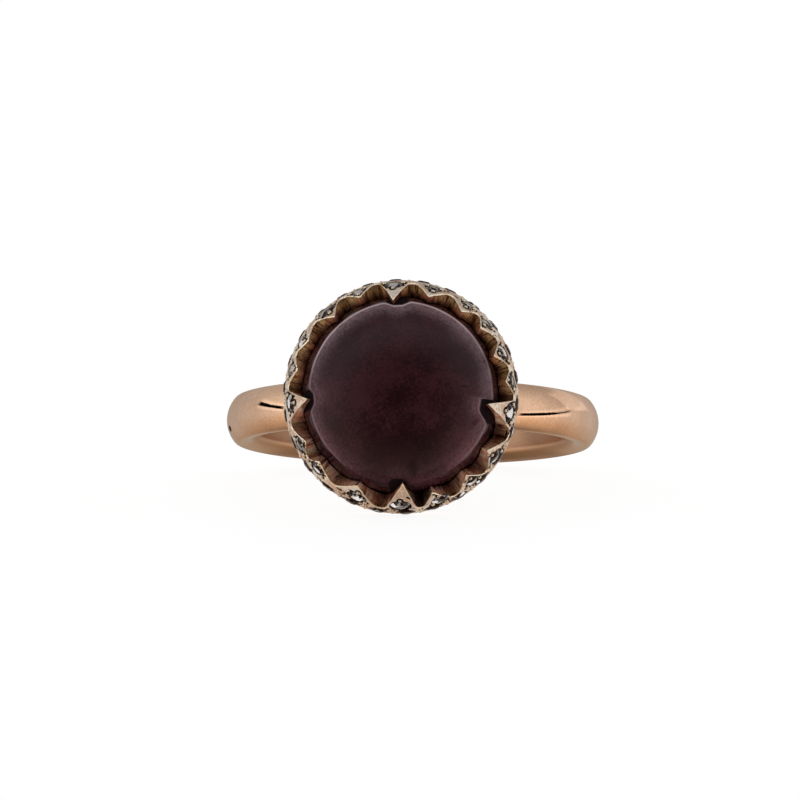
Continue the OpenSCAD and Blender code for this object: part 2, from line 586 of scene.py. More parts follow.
# %% The rows of a column, outside
clear_of_rim = 0.19
fine_from = math.radians(-17)
rows_under, rows_belly, rows_above = 7, 15, 58
rim_slope = np.arcsin(rim_z / upper_r)
under = np.linspace(-math.pi / 2, fine_from, rows_under)[:-1, None] + 0 * angle
belly = np.linspace(fine_from, 0, rows_belly)[:-1, None] + 0 * angle
above = np.linspace(0, 1, rows_above)[:, None] * (rim_slope - bevel_w / upper_r)
slope_rows = np.vstack([under, belly, above])
outside, outward = on_bowl(angle + 0 * slope_rows, slope_rows)
rim_distance = (rim_slope - slope_rows) * upper_r
off_bevel = smooth_step(bevel_w, clear_of_rim, rim_distance)
depth = np.maximum(pressed(outside), nicked(outside)) * off_bevel
outside = outside - depth[..., None] * outward
print(len(slope_rows), "rows outside, pressed in up to", depth.max().round(2), "mm")

# %% [markdown]
# From the bevel the column drops down the flute to the garnet, runs down the straight wall of
# the seat and ends half way in under the stone. How far the bevel reaches into the flute
# follows from its lean: far in a notch, where the outside is steep, and hardly at all beside a
# tip.

# %% The rows of a column, over the rim, down the flute and round the seat
least_reach = 0.1
bevel_parts = (0.12, 0.88)
rows_down_flute, rows_down_wall = 15, 6
half_way_in = 0.5

reach_in = bevel_w * (np.cos(rim_slope) - np.tan(bevel_lean) * np.sin(rim_slope)) / (
    math.sin(flute_slope) + np.tan(bevel_lean) * math.cos(flute_slope)
)
flute_top = rim_r - np.maximum(reach_in, least_reach * bevel_w) * math.cos(flute_slope)
flute_r = flute_top + np.linspace(0, 1, rows_down_flute)[:, None] * (inner_r - flute_top)
flute_z = cut_height(flute, flute_r, angle)
flute_z[-1] = inner_z
start = np.array([upper_c + upper_r * np.cos(above[-1]), upper_r * np.sin(above[-1])])
end = np.array([flute_r[0], flute_z[0]])
bevel = np.array([(1 - part) * start + part * end for part in bevel_parts])
seat_z = inner_z + np.linspace(0, 1, rows_down_wall)[1:, None] * (recess_z - inner_z)
over_shoulder = np.sqrt(np.maximum(recess_shoulder**2 - (seat_z - girdle_z) ** 2, 0))
seat_r = np.where(seat_z > girdle_z, shoulder_c + over_shoulder, recess_r)
inside_r = np.vstack([bevel[:, 0], flute_r, seat_r, half_way_in * seat_r[-1:]])
inside_z = np.vstack([bevel[:, 1], flute_z, seat_z, seat_z[-1:]])
turn = np.radians(angle)
inside = np.stack([inside_r * np.cos(turn), inside_r * np.sin(turn), bowl_z + inside_z], -1)
rings = np.concatenate([outside, inside])
print(len(rings), "rows in all")

# %% [markdown]
# The finishes will need to know where on the setting they are. So the mesh carries notes:
# values stored at each of its points, which Blender calls attributes. The first four say how
# deep a place lies in a seat or gouge, and so how much shade is painted there, whether the
# setter worked there at all, where it lies across and along its flute, and whether it is in the
# upper half of the ring or in the lower one, which is in shade. One deep flute, beside the lowest
# prong, gets a thin painted shade too.

# %% Notes on painted shade in hollows, work, flutes and shade
def note(piece, name, kind, values, domain="POINT"):
    """Stores a value for each point or face of a piece, for its material to read."""
    field = "vector" if kind == "FLOAT_VECTOR" else "value"
    layer = piece.data.attributes.new(name, kind, domain)
    layer.data.foreach_set(field, np.ascontiguousarray(values, np.float32).ravel())


def with_poles(values):
    """Values of the grid's points, with those of its two end points added."""
    flat = values.reshape(len(rings) * len(angle), -1)
    return np.vstack([flat, flat[:1], flat[-1:]])


first_flute_row = len(outside) + len(bevel)
dark_flute, thin_shade = 15, 0.33
unworked_slope, worked_slope = -0.5, -0.15
lit_height, shaded_height = 0.3, -0.5
soiled = np.zeros(rings.shape[:2])
# Painted shade: the deeper a place lies in a seat, gouge or nick, the more shade is painted there.
soiled[:len(outside)] = np.clip(depth / gouge_depth, 0, 1)
# Painted shade in the deep flute beside the lowest prong.
soiled[first_flute_row:, flute == dark_flute] = thin_shade
worked = np.ones(rings.shape[:2])
worked[:len(outside)] = smooth_step(unworked_slope, worked_slope, slope_rows)
from_middle = np.radians((angle - flute_mid[flute] + 180) % 360 - 180)
ring_radius = np.hypot(rings[..., 0], rings[..., 1])
place_in_flute = np.stack([
    ring_radius * np.sin(from_middle),
    ring_radius - notch_r[flute],
    0 * ring_radius + flute,
], -1)
in_shade = smooth_step(lit_height, shaded_height, rings[..., 1] / ring_radius)
print("deepest soil", soiled.max().round(2))

# %% [markdown]
# A painted reflection of the stone's red lies on the gold beside it, and reaches further up the
# lower flutes, where less light falls. Gold that stands over the stone's edge gets painted shade
# and is nearly dark. A thin line of painted shade lies under the rim.

# %% Notes on the gold beside the garnet and under the rim
near, near_in_shade = 0.42, 1.05
beside_stone, over_its_edge = 0.06, -0.12
off_recess = ring_radius - recess_r
# Where the painted reflection of the stone's red lies.
beside_garnet = 1 - smooth_step(0.0, near + near_in_shade * in_shade, off_recess)
# Where painted shade lies over the stone's edge.
over_stone = smooth_step(beside_stone, over_its_edge, off_recess)
# Rows of the painted shade line under the rim.
line_under_rim = np.array([0.8, 1.0, 0.6, 0.2])
under_rim = np.zeros(rings.shape[:2])
under_rim[first_flute_row:first_flute_row + len(line_under_rim)] = line_under_rim[:, None]
print("nearest to the garnet", beside_garnet.max().round(2))

# %% [markdown]
# In the flute below the right-hand prong a painted highlight stands for the glint of one small
# burr, a short pale line that runs across the flute; the burr itself is not in the mesh. Its
# place and direction are given in the flute's own two directions.

# %% Note on the one painted burr highlight
burr_flute, burr_middle, burr_way = 18, (-0.66, -0.74), (-0.99, 0.14)
burr_half, burr_fade, burr_w = 0.5, 0.1, 0.08
off_burr = place_in_flute[..., :2] - burr_middle
along_burr = np.abs(off_burr @ burr_way)
beside_burr = off_burr @ (burr_way[1], -burr_way[0])
burr_length = smooth_step(burr_half + burr_fade, burr_half, along_burr)
# Painted highlight of the burr.
bright_burr = np.exp(-((beside_burr / burr_w) ** 2)) * burr_length
bright_burr[:first_flute_row] = 0
bright_burr[:, flute != burr_flute] = 0
print("burr on", int((bright_burr > 0.5).sum()), "points")

# %% [markdown]
# The grid is closed under the bowl and under the garnet, and becomes the setting. It stands for
# the gold mount of the frame together with the shank, because the two are soldered into one.

# %% The bowl setting
bowl_points, bowl_faces = closed_grid(rings, [0, 0, bowl_z - lower_r], [0, 0, bowl_z + recess_z])
bowl = make_piece("bowl_setting", bowl_points, bowl_faces, sharp_angle=30)
bowl_notes = {
    "soiled": soiled,
    "worked": worked,
    "in_shade": in_shade,
    "beside_garnet": beside_garnet,
    "over_stone": over_stone,
    "under_rim": under_rim,
    "bright_burr": bright_burr,
}
for name, values in bowl_notes.items():
    note(bowl, name, "FLOAT", with_poles(values))
note(bowl, "place_in_flute", "FLOAT_VECTOR", with_poles(place_in_flute))
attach(bowl, "root")
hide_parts("gold_mount")

# %% [markdown]
# The shank is a half-round band. Its section is drawn once, corner by corner, with sides that
# lean in a little towards the finger. Then its corners are eased by averaging each point with
# its neighbours, as the polishing wheel and years of wear do. The inner edges end up rounder
# than a plain bevel, which is what their soft reflections in the picture show.

# %% The section of the shank
ring_r = finger_r + shank_t
side_taper = 0.07
inner_reach = 0.6
inner_ease = 0.4
crown_steps, fine_steps, section_steps = 24, 240, 80
ease_rounds = 36


def section_outline():
    """The shank's section as (radius, along the finger), before it is eased."""
    side = shank_w / 2
    inner_side = side - side_taper
    spread = math.asin(side / crown_r)
    arc = [
        (ring_r - crown_r + crown_r * math.cos(a), crown_r * math.sin(a))
        for a in np.linspace(-spread, spread, crown_steps)
    ]
    inner = [
        (finger_r + inner_reach, inner_side),
        (finger_r, inner_side - inner_ease),
        (finger_r, inner_ease - inner_side),
        (finger_r + inner_reach, -inner_side),
    ]
    return np.array(arc + inner)


def even_steps(outline, count):
    """The same closed outline, with points an even step apart."""
    loop = np.vstack([outline, outline[:1]])
    walked = np.append(0, np.cumsum(np.linalg.norm(np.diff(loop, axis=0), axis=1)))
    at = np.arange(count) / count * walked[-1]
    return np.stack([np.interp(at, walked, loop[:, k]) for k in (0, 1)], -1)


def eased(outline, rounds):
    """Each point moved half way to the middle of its neighbours, again and again."""
    for _ in range(rounds):
        between = (np.roll(outline, 1, 0) + np.roll(outline, -1, 0)) / 2
        outline = (outline + between) / 2
    return outline


section = even_steps(eased(even_steps(section_outline(), fine_steps), ease_rounds), section_steps)
print("shank section", np.ptp(section, 0).round(2), "mm")

# %% [markdown]
# The eased section is carried round the finger as one closed ring. The band keeps a note of
# where each of its points lies on the upright ring, so that its finish can tell the inside from
# the outside, and the side by the head from the side away from it.

# %% Carry the section round the finger
n_round = 300
round_angle = np.linspace(0, 2 * math.pi, n_round, endpoint=False)[:, None]
shank_rings = np.stack([
    section[:, 0] * np.sin(round_angle),
    section[:, 1] + 0 * round_angle,
    section[:, 0] * np.cos(round_angle),
], -1)
shank_points, shank_faces = closed_grid(shank_rings)
shank = make_piece("shank", shank_points, shank_faces)
note(shank, "place_on_band", "FLOAT_VECTOR", shank_rings)
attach(shank, "root")
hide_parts("gold_mount")

# %% [markdown]
# The garnet is a cabochon, turned from a half outline: a flat base with an eased edge, a short
# straight side, a shoulder and a flatter cap that carries on from it without a break. Its note
# gives places across the stone in stone radii, from the middle of its painted sheen, which lies a
# hair off the stone's own, as the light on the real stone does.

# %% The garnet
def turned(outline, count):
    """Rings of an outline of (radius, height) turned about the head's axis."""
    a = np.linspace(0, 2 * math.pi, count, endpoint=False)
    r, z = outline[:, :1], outline[:, 1:]
    return np.stack([r * np.cos(a), r * np.sin(a), z + 0 * a], -1)


side_steps, shoulder_steps, cap_steps, garnet_columns = 6, 24, 36, 240
cap_r = (shoulder_c**2 + dome_h**2 - shoulder_r**2) / (2 * (dome_h - shoulder_r))
cap_z = girdle_z + dome_h - cap_r
cap_angle = math.atan2(girdle_z - cap_z, shoulder_c)
garnet_outline = np.array(
    [(stone_r - base_bevel, -base_drop), (stone_r, base_bevel - base_drop)]
    + [(stone_r, z) for z in np.linspace(0, girdle_z, side_steps)[:-1]]
    + [
        (shoulder_c + shoulder_r * math.cos(a), girdle_z + shoulder_r * math.sin(a))
        for a in np.linspace(0, cap_angle, shoulder_steps)[:-1]
    ]
    + [
        (cap_r * math.cos(a), cap_z + cap_r * math.sin(a))
        for a in np.linspace(cap_angle, math.pi / 2, cap_steps)[:-1]
    ]
)
garnet_outline[:, 1] += bowl_z
garnet_points, garnet_faces = closed_grid(
    turned(garnet_outline, garnet_columns),
    [0, 0, bowl_z - base_drop], [0, 0, bowl_z + girdle_z + dome_h],
)
garnet = make_piece("garnet_dome", garnet_points, garnet_faces, sharp_angle=38)
# Middle of the painted sheen and highlight at the stone's edge.
sheen_middle = [0.019, -0.0064, 0]
place_in_garnet = garnet_points * [1, 1, 0] / stone_r - sheen_middle
note(garnet, "place_in_garnet", "FLOAT_VECTOR", place_in_garnet)
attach(garnet, "root")
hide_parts("garnet_cabochon")

# %% [markdown]
# The small diamonds are round brilliants. A cut stone is a convex body, so it is enough to
# place its corners and let Blender stretch the facets between them with a convex hull. One
# stone is made this way, in stone radii, and then set into every seat at that seat's size.

# %% Corners of a brilliant
def corner_ring(count, turn_part, r, z):
    """Corners round the stone, turned by a part of their own step."""
    a = (np.arange(count) + turn_part) * 2 * math.pi / count
    return np.stack([r * np.cos(a), r * np.sin(a), np.full(count, z)], -1)


brilliant_corners = np.vstack([
    corner_ring(8, 0, 0.56, 0.28),
    corner_ring(8, 0.5, 0.80, 0.155),
    corner_ring(16, 0, 1.0, 0.02),
    corner_ring(16, 0, 1.0, -0.02),
    corner_ring(8, 0.5, 0.28, -0.55),
    [[0, 0, -0.72]],
])


def hull_of(corners):
    """Points and faces of the convex body with these corners."""
    shape = bmesh.new()
    for corner in corners:
        shape.verts.new(corner)
    bmesh.ops.convex_hull(shape, input=shape.verts)
    bmesh.ops.recalc_face_normals(shape, faces=shape.faces)
    shape.verts.index_update()
    points = np.array([v.co for v in shape.verts])
    faces = [tuple(v.index for v in f.verts) for f in shape.faces]
    shape.free()
    return points, faces


brilliant = hull_of(brilliant_corners)
print("a brilliant has", len(brilliant[0]), "corners and", len(brilliant[1]), "triangles")

# %% [markdown]
# Each stone is sunk a little below the gold and leans with its seat. The stones of the lower row
# sit deeper and have more facets in painted shade and smaller painted flashes, so they show only
# as a row of dark eyes round the bowl. The copies of a row are joined into one piece, as a paved
# surface is one thing to the eye.

# %% Set copies into seats
stone_sink = 0.03
deeper_below = 0.05


def joined(shape, frames):
    """Copies of one shape, each given by a middle and three scaled directions."""
    points, faces = shape
    all_points, all_faces = [], []
    for middle, directions in frames:
        all_faces += [tuple(i + len(points) * len(all_points) for i in f) for f in faces]
        all_points.append(middle + points @ np.array(directions))
    return np.vstack(all_points), all_faces


def in_seat(seat, turned_by):
    """A stone's place in its seat, leaning with it, sunk below the gold and turned a little."""
    lean_c, lean_s = math.cos(seat.lean), math.sin(seat.lean)
    stone_out = lean_c * seat.out - lean_s * seat.up
    stone_up = lean_c * seat.up + lean_s * seat.out
    c, s = math.cos(turned_by), math.sin(turned_by)
    first = seat.r * (c * seat.along + s * stone_up)
    second = seat.r * (c * stone_up - s * seat.along)
    sunk = stone_sink + seat.r * lean_s + (deeper_below if seat.lean == 0 else 0)
    return seat.place - sunk * seat.out, [first, second, seat.r * stone_out]


print("stones sunk", stone_sink, "mm, and", deeper_below, "more in the lower row")

# %% [markdown]
# A brilliant this small shows no depth. Most of its facets are windows into a dark seat, and one
# or two patches of them flash with light. So every facet gets painted light: painted shade, dark
# or dim by chance, and a painted flash where light falls on it. The levels are stored as a note
# on the faces.

# %% The two rows of diamonds
# Levels of painted shade and of painted flash for the facets.
shade_levels, flash_levels = [0.0, 0.05, 0.3], [0.6, 1.0, 1.0]
most_flashes, flash_place = 2, (0.1, 0.75)
row_seats = {"diamonds_upper_row": upper_seats, "diamonds_lower_row": lower_seats}
dark_shares = {"diamonds_upper_row": [0.58, 0.20, 0.22], "diamonds_lower_row": [0.78, 0.18, 0.04]}
flash_reach = {"diamonds_upper_row": 0.45, "diamonds_lower_row": 0.24}
facet_middles = brilliant[0][np.array(brilliant[1])].mean(1)


def facet_lights(row_name):
    """Painted light for each facet of one stone: painted shade, apart from a painted flash or two
    on its face.
    """
    light_levels = setting.choice(shade_levels, len(facet_middles), p=dark_shares[row_name])
    for _ in range(setting.integers(1, most_flashes + 1)):
        a, r = setting.uniform(0, 2 * math.pi), setting.uniform(*flash_place)
        off = facet_middles[:, :2] - [r * math.cos(a), r * math.sin(a)]
        light_levels[np.hypot(off[:, 0], off[:, 1]) < flash_reach[row_name]] = setting.choice(flash_levels)
    return light_levels


for row_name, seats in row_seats.items():
    frames = [in_seat(seat, setting.uniform(0, 1)) for seat in seats]
    row_points, row_faces = joined(brilliant, frames)
    diamonds = make_piece(row_name, row_points, row_faces, sharp_angle=1)
    light_levels = np.concatenate([facet_lights(row_name) for _ in seats])
    note(diamonds, "facet_tone", "FLOAT", light_levels, "FACE")
    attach(diamonds, "root")

# %% [markdown]
# Each stone is held by beads: grains of gold pushed up over its edge. In the upper row one
# bead sits on the tip's side and two lie below. In the lower row neighbouring stones share
# their beads, two between each pair. Round grains are enough here, joined into one piece.

# %% Beads
bead_sink, bead_flatness = 0.02, 0.8


def ball():
    """Points and faces of a small round grain."""
    shape = bmesh.new()
    bmesh.ops.create_icosphere(shape, subdivisions=3, radius=1)
    points = np.array([v.co for v in shape.verts])
    faces = [tuple(v.index for v in f.verts) for f in shape.faces]
    shape.free()
    return points, faces


def bead_frame(seat, along, up, r):
    """A bead's place on the gold beside a seat, a little flatter than a ball."""
    sag = (along**2 + up**2) / (2 * upper_r)
    middle = seat.point(along, up, -sag - bead_sink)
    return middle, [r * seat.along, r * seat.up, bead_flatness * r * seat.out]


bead_frames = [bead_frame(seat, *bead) for seat in all_seats for bead in seat.beads]
bead_points, bead_faces = joined(ball(), bead_frames)
beads = make_piece("beads", bead_points, bead_faces)
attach(beads, "root")

# %% [markdown]
# A finish in Blender is a tree of nodes, and its maths reads best as plain sums. So one small
# class wraps a socket and turns + - * and ** into Math nodes. The sums also work with the number
# first, as in 1 - wear.

# %% Sums on sockets
class Wire:
    """A socket's value, which can be used in sums as a number can."""

    def __init__(self, bench, socket):
        self.bench, self.socket = bench, socket

    def sum(self, operation, first, second):
        return self.bench.add("Math", {"operation": operation}, first, second)

    def __add__(self, other):
        return self.sum("ADD", self, other)

    def __sub__(self, other):
        return self.sum("SUBTRACT", self, other)

    def __rsub__(self, other):
        return self.sum("SUBTRACT", other, self)

    def __mul__(self, other):
        return self.sum("MULTIPLY", self, other)

    def __pow__(self, other):
        return self.sum("POWER", self, other)

    __radd__ = __add__
    __rmul__ = __mul__


print("wires can be added, subtracted, multiplied and raised to a power")

# %% [markdown]
# The bench holds one node tree and the shader in it that everything feeds. Its one method for
# nodes adds any kind: the node's settings first, then its inputs, by order or by name. The rest
# are short names for what the finishes below need often.

# %% The bench
class Bench:
    """A node tree to work on, and the shader that it feeds."""

    def __init__(self, tree, shader_name):
        self.tree, self.shader = tree, tree.nodes[shader_name]

    def add(self, kind, settings, *inputs, out=0, **named):
        """Adds a node and gives one of its outputs."""
        node = self.tree.nodes.new("ShaderNode" + kind)
        for key, value in settings.items():
            if key == "stops":
                self.set_stops(node.color_ramp.elements, value)
            else:
                setattr(node, key, value)
        for key, value in [*enumerate(inputs), *named.items()]:
            self.feed(node.inputs[key], value)
        return Wire(self, node.outputs[out])

    def feed(self, socket, value):
        """Links a wire to a socket, or sets the socket to a plain value."""
        if isinstance(value, Wire):
            self.tree.links.new(value.socket, socket)
        else:
            socket.default_value = value

    def finish(self, **inputs):
        """Feeds the shader's inputs by name, where Base_Color means Base Color."""
        for key, value in inputs.items():
            self.feed(self.shader.inputs[key.replace("_", " ")], value)

    def set_stops(self, elements, stops):
        """Gives a colour ramp its stops, each a place and a colour."""
        while len(elements) < len(stops):
            elements.new(1)
        for element, (place, colour) in zip(elements, stops):
            element.position, element.color = place, colour

    def mix(self, part, first, second):
        """A colour between two colours."""
        return self.add("Mix", {"data_type": "RGBA"}, part, out=2, A=first, B=second)

    def note(self, name, out="Fac"):
        """A note that the mesh carries, by its name."""
        return self.add("Attribute", {"attribute_name": name}, out=out)

    def between(self, wire, start, end):
        """0 before start, 1 after end, with a soft turn between them."""
        soft = {"interpolation_type": "SMOOTHSTEP"}
        return self.add("MapRange", soft, wire, start, end, 0.0, 1.0)

    def vector_sum(self, operation, *inputs, out=0):
        """A sum on vectors, such as SUBTRACT or LENGTH."""
        return self.add("VectorMath", {"operation": operation}, *inputs, out=out)

    def length(self, vector):
        """How long a vector is."""
        return self.vector_sum("LENGTH", vector, out="Value")

    def one_way(self, vector, axis):
        """One of a vector's three parts: X, Y or Z."""
        return self.add("SeparateXYZ", {}, vector, out=axis)

    def away(self, place, middle, half_size):
        """How far a place lies from a middle, counted in half sizes."""
        off = self.vector_sum("SUBTRACT", place, middle)
        return self.length(self.vector_sum("DIVIDE", off, half_size))


print("a bench adds nodes, mixes colours, reads notes and measures places")

# %% [markdown]
# A material starts from Blender's all-round shader, the Principled BSDF. What is the same all
# over the piece is set on the shader itself, and only what changes from place to place gets
# nodes. Noises count their features to a metre, because the ring is modelled in metres: 1000 to
# the metre is one to a millimetre.

# %% Materials on the bench
def rgb(red, green, blue):
    """A colour in the form that a socket takes, fully opaque."""
    return (red, green, blue, 1.0)


def new_material(name, **fixed):
    """A material with its Principled BSDF's constant values set, and its bench."""
    material = bpy.data.materials.new(name)
    material.use_nodes = True
    bench = Bench(material.node_tree, "Principled BSDF")
    bench.finish(**fixed)
    return material, bench


def noise(bench, scale, detail, **more):
    """A noise over the piece, from 0 to 1, with so many features to a metre."""
    place = bench.add("TexCoord", {}, out="Object")
    return bench.add("TexNoise", {}, Vector=place, Scale=scale, Detail=detail, **more)


def scratched(bench, strength, depth, height):
    """Makes the surface catch light as if a height from 0 to 1 were so many mm deep."""
    bump = bench.add("Bump", {}, Strength=strength, Distance=depth * MM, Height=height)
    bench.finish(Normal=bump)


print("materials made so far:", len(bpy.data.materials))

# %% [markdown]
# Rose gold is gold with a good deal of copper. Polished, it takes nearly all of its look from
# what it reflects, so its own colour only has to be right for light that meets it head on. The
# wheel polished the round outside of the shank. It didn't reach the inside, which stays
# brushed, and away from the head the flat sides are worn matt. To find these places, the finish
# measures how far a place is from the finger and how far towards the head.

# %% Where the shank is polished and where it is matt
band_gold, bench = new_material("rose_gold_band", Specular_IOR_Level=0.1)
brushed_up_to = (0.12, 0.75)
worn_up_to, worn_away_from_head = (1.25, 1.38), (-1.7, -5.5)
on_band = bench.note("place_on_band", "Vector")
across_way = bench.one_way(on_band, "Y")
towards_head = bench.one_way(on_band, "Z")
from_finger = bench.length(bench.vector_sum("MULTIPLY", on_band, (1, 0, 1))) - finger_r
inside_band = 1 - bench.between(from_finger, *brushed_up_to)
off_head = bench.between(towards_head, *worn_away_from_head)
worn_side = (1 - bench.between(from_finger, *worn_up_to)) * off_head
matt = bench.add("Math", {"operation": "MAXIMUM"}, inside_band, worn_side)
print("brushed up to", brushed_up_to[1], "mm from the finger, worn up to", worn_up_to[1])

# %% [markdown]
# The polished gold is mottled by wear: a cloudy noise and a fine grain together choose between
# a fresh and a worn colour. The brushed gold is duller, and on the half of it that is turned
# from the light a deep brown shade is painted. On the left of the outside is one small nick,
# which has no dent in the mesh: its shade is painted as a dark, dull spot shaped like a squashed
# ball.

# %% Rose gold
cloud = noise(bench, 420.0, 3.0)
grain = noise(bench, 8000.0, 2.0)
wear = bench.between(cloud * 0.5 + grain * 0.5, 0.38, 0.62)
polished = bench.mix(wear, rgb(1.0, 0.645, 0.43), rgb(0.85, 0.525, 0.34))
brushed = bench.mix(cloud, rgb(0.76, 0.47, 0.295), rgb(0.66, 0.395, 0.24))
# Painted shade on the half of the brushed inside that is turned from the light.
shaded = bench.between(across_way, 0.15, 0.75) * inside_band
brushed = bench.mix(shaded * 0.75, brushed, rgb(0.16, 0.07, 0.03))
gold = bench.mix(matt, polished, brushed)
# Painted shade of a small nick: a dark, dull spot, with no dent in the mesh.
nick_middle, nick_half_size = (-10.25, -0.63, 2.07), (0.5, 0.2, 0.45)
nick = 1 - bench.between(bench.away(on_band, nick_middle, nick_half_size), 0.75, 1.05)
bench.finish(
    Base_Color=bench.mix(nick, gold, rgb(0.02, 0.01, 0.006)),
    Roughness=0.02 + cloud * 0.04 + matt * 0.3 + nick * 0.7,
    Metallic=1 - nick,
)
scratched(bench, 0.06 + matt * 0.24, 0.02, noise(bench, 6000.0, 4.0))
shank.data.materials.append(band_gold)
print("polished outside and brushed inside, on", shank.name)

# %% [markdown]
# The bowl was worked over with gravers and beading tools and could not be polished so bright, so
# its gold is satin: sandy, pale in places and rougher. Its underside was never worked and is as
# plain as the shank. In the seats and gouges, where little light reaches, shade is painted: the
# note that says how deep a place lies makes the gold dark and dull there.

# %% Satin gold on the bowl
def shade_by_depth(bench):
    """How much shade is painted in a hollow, from 0 to 1, by the note of how deep a place is."""
    return bench.between(bench.note("soiled"), 0.08, 0.45)


satin_gold, bench = new_material("rose_gold_satin")
cloud = noise(bench, 700.0, 4.0)
sand = noise(bench, 7000.0, 3.0)
recess_shade = shade_by_depth(bench)
worked_here = bench.note("worked")
sandy = bench.between(cloud + sand, 0.86, 1.14)
satin = bench.mix(sandy, rgb(0.80, 0.52, 0.36), rgb(1.0, 0.88, 0.74))
plain = bench.mix(cloud, rgb(1.0, 0.66, 0.45), rgb(0.90, 0.57, 0.38))
gold = bench.mix(worked_here, plain, satin)
# Painted shade darkens the gold in the seats and gouges.
bench.finish(
    Base_Color=bench.mix(recess_shade, gold, rgb(0.022, 0.009, 0.006)),
    Metallic=1 - worked_here * 0.5,
    Roughness=0.08 + cloud * 0.16 + worked_here * 0.22 + recess_shade * 0.3,
)
scratched(bench, 0.05 + worked_here * 0.45, 0.02, sand)
bowl.data.materials.append(satin_gold)
print("satin gold on", bowl.name)

# %% [markdown]
# The bevel along the rim was rubbed with a polished steel burnisher, and the beads were rounded
# with a polished cup. Rubbed gold is the brightest and palest, and it has no scratches to speak
# of, so only a slow cloudiness varies it.

# %% Burnished bevel and beads
burnished_gold, bench = new_material("rose_gold_burnished", Metallic=0.9)
cloud = noise(bench, 2500.0, 2.0)
bench.finish(
    Base_Color=bench.mix(cloud, rgb(1.0, 0.90, 0.74), rgb(1.0, 0.80, 0.58)),
    Roughness=0.05 + cloud * 0.08,
)
bowl.data.materials.append(burnished_gold)
beads.data.materials.append(burnished_gold)
print("burnished gold on the bevel and on", beads.name)

# %% [markdown]
# The flutes are as the graver left them, streaked along its path. The streaks are noises in the
# flute's own directions, fine across and long along it: broad strokes with hairlines in them.
# The note's third number is the flute's own, and it moves the noise on from flute to flute, so
# that no two are alike.

# %% Strokes of the cut gold
cut_gold, bench = new_material("rose_gold_cut", Metallic=0.2, Specular_IOR_Level=0.12)
along_strokes = (1.0, 0.12, 3.7)
stretched = bench.vector_sum("MULTIPLY", bench.note("place_in_flute", "Vector"), along_strokes)


def strokes(scale, detail, **more):
    """A noise that runs along the graver's path, with so many strokes to a millimetre."""
    return bench.add("TexNoise", {}, Vector=stretched, Scale=scale, Detail=detail, **more)


streak = strokes(7.0, 3.0, Roughness=0.65, Distortion=0.8)
hairline = strokes(19.0, 2.0, Roughness=0.7)
broad_facet = strokes(4.0, 1.0)
contrast = bench.between(streak * 0.55 + hairline * 0.45, 0.43, 0.525)
gold = bench.mix(contrast, rgb(0.24, 0.07, 0.02), rgb(1.0, 0.61, 0.28))
print("strokes run", round(along_strokes[0] / along_strokes[1]), "times as long as wide")

# %% [markdown]
# Next to the garnet a painted reflection of the stone's red lies on the gold. In the upper
# flutes it is a narrow, deep red. In the lower ones it is wide and paler, with painted highlights
# on some strokes and broad facets and painted shade on others.

# %% Painted reflection of the stone on the cut gold
lower_half = bench.note("in_shade")
# Painted reflection of the stone's red, paler in the lower flutes.
painted_stone_reflection = bench.mix(lower_half, rgb(0.50, 0.18, 0.09), rgb(0.90, 0.37, 0.23))
# Painted shade on some broad facets.
shaded_facet = bench.between(broad_facet, 0.5, 0.36)
painted_red_gold = bench.mix(shaded_facet, painted_stone_reflection, rgb(0.12, 0.03, 0.02))
# Painted highlights on strokes and glints on broad facets, in the lower flutes.
stroke_highlights = bench.between(streak, 0.48, 0.58) * lower_half
painted_red_gold = bench.mix(stroke_highlights, painted_red_gold, rgb(1.0, 0.62, 0.45))
facet_glint = bench.between(broad_facet, 0.60, 0.66) * lower_half
painted_red_gold = bench.mix(facet_glint, painted_red_gold, rgb(1.0, 0.75, 0.5))
gold = bench.mix(bench.note("beside_garnet"), gold, painted_red_gold)
print("red of the stone reaches up to", near + near_in_shade, "mm")

# %% [markdown]
# The rest of the notes come on top: painted shade over the stone's edge, a line of painted shade
# under the rim, the painted highlight of one burr, and painted shade in the deep flute.

# %% Cut gold in the flutes
# Painted shade over the stone's edge and under the rim, and the painted highlight of one burr.
gold = bench.mix(bench.note("over_stone") * 0.75, gold, rgb(0.09, 0.03, 0.018))
gold = bench.mix(bench.note("under_rim") * 0.45, gold, rgb(0.12, 0.04, 0.02))
gold = bench.mix(bench.note("bright_burr"), gold, rgb(1.0, 0.74, 0.46))
# Painted shade in hollows, here in the deep flute beside the lowest prong.
bench.finish(
    Base_Color=bench.mix(shade_by_depth(bench), gold, rgb(0.02, 0.008, 0.006)),
    Roughness=0.58 - contrast * 0.2,
)
scratched(bench, 0.5, 0.04, streak)
bowl.data.materials.append(cut_gold)
print("cut gold in", n_points, "flutes")

# %% [markdown]
# The setting's faces take their finish by the row they are in: satin below the bevel, burnished
# on it, and cut gold from there on to the bottom of the garnet's seat.

# %% The setting's three finishes by row
first_bevel = (len(outside) - 1) * len(angle)
first_cut = first_flute_row * len(angle)
last_cut = (len(rings) - 1) * len(angle)
slots = np.zeros(len(bowl.data.polygons), np.int32)
slots[first_bevel:first_cut] = 1
slots[first_cut:last_cut] = 2
bowl.data.polygons.foreach_set("material_index", slots)
print(np.bincount(slots), "faces of satin, burnished and cut gold")

# %% [markdown]
# The garnet is so deep a red that it looks almost black-brown, with a soft plum sheen. Light
# that enters it hardly comes back, so a dark body colour under a clear polished surface gives
# the look. Inside lie faint clouds, which two noises draw as patches of redder stone.

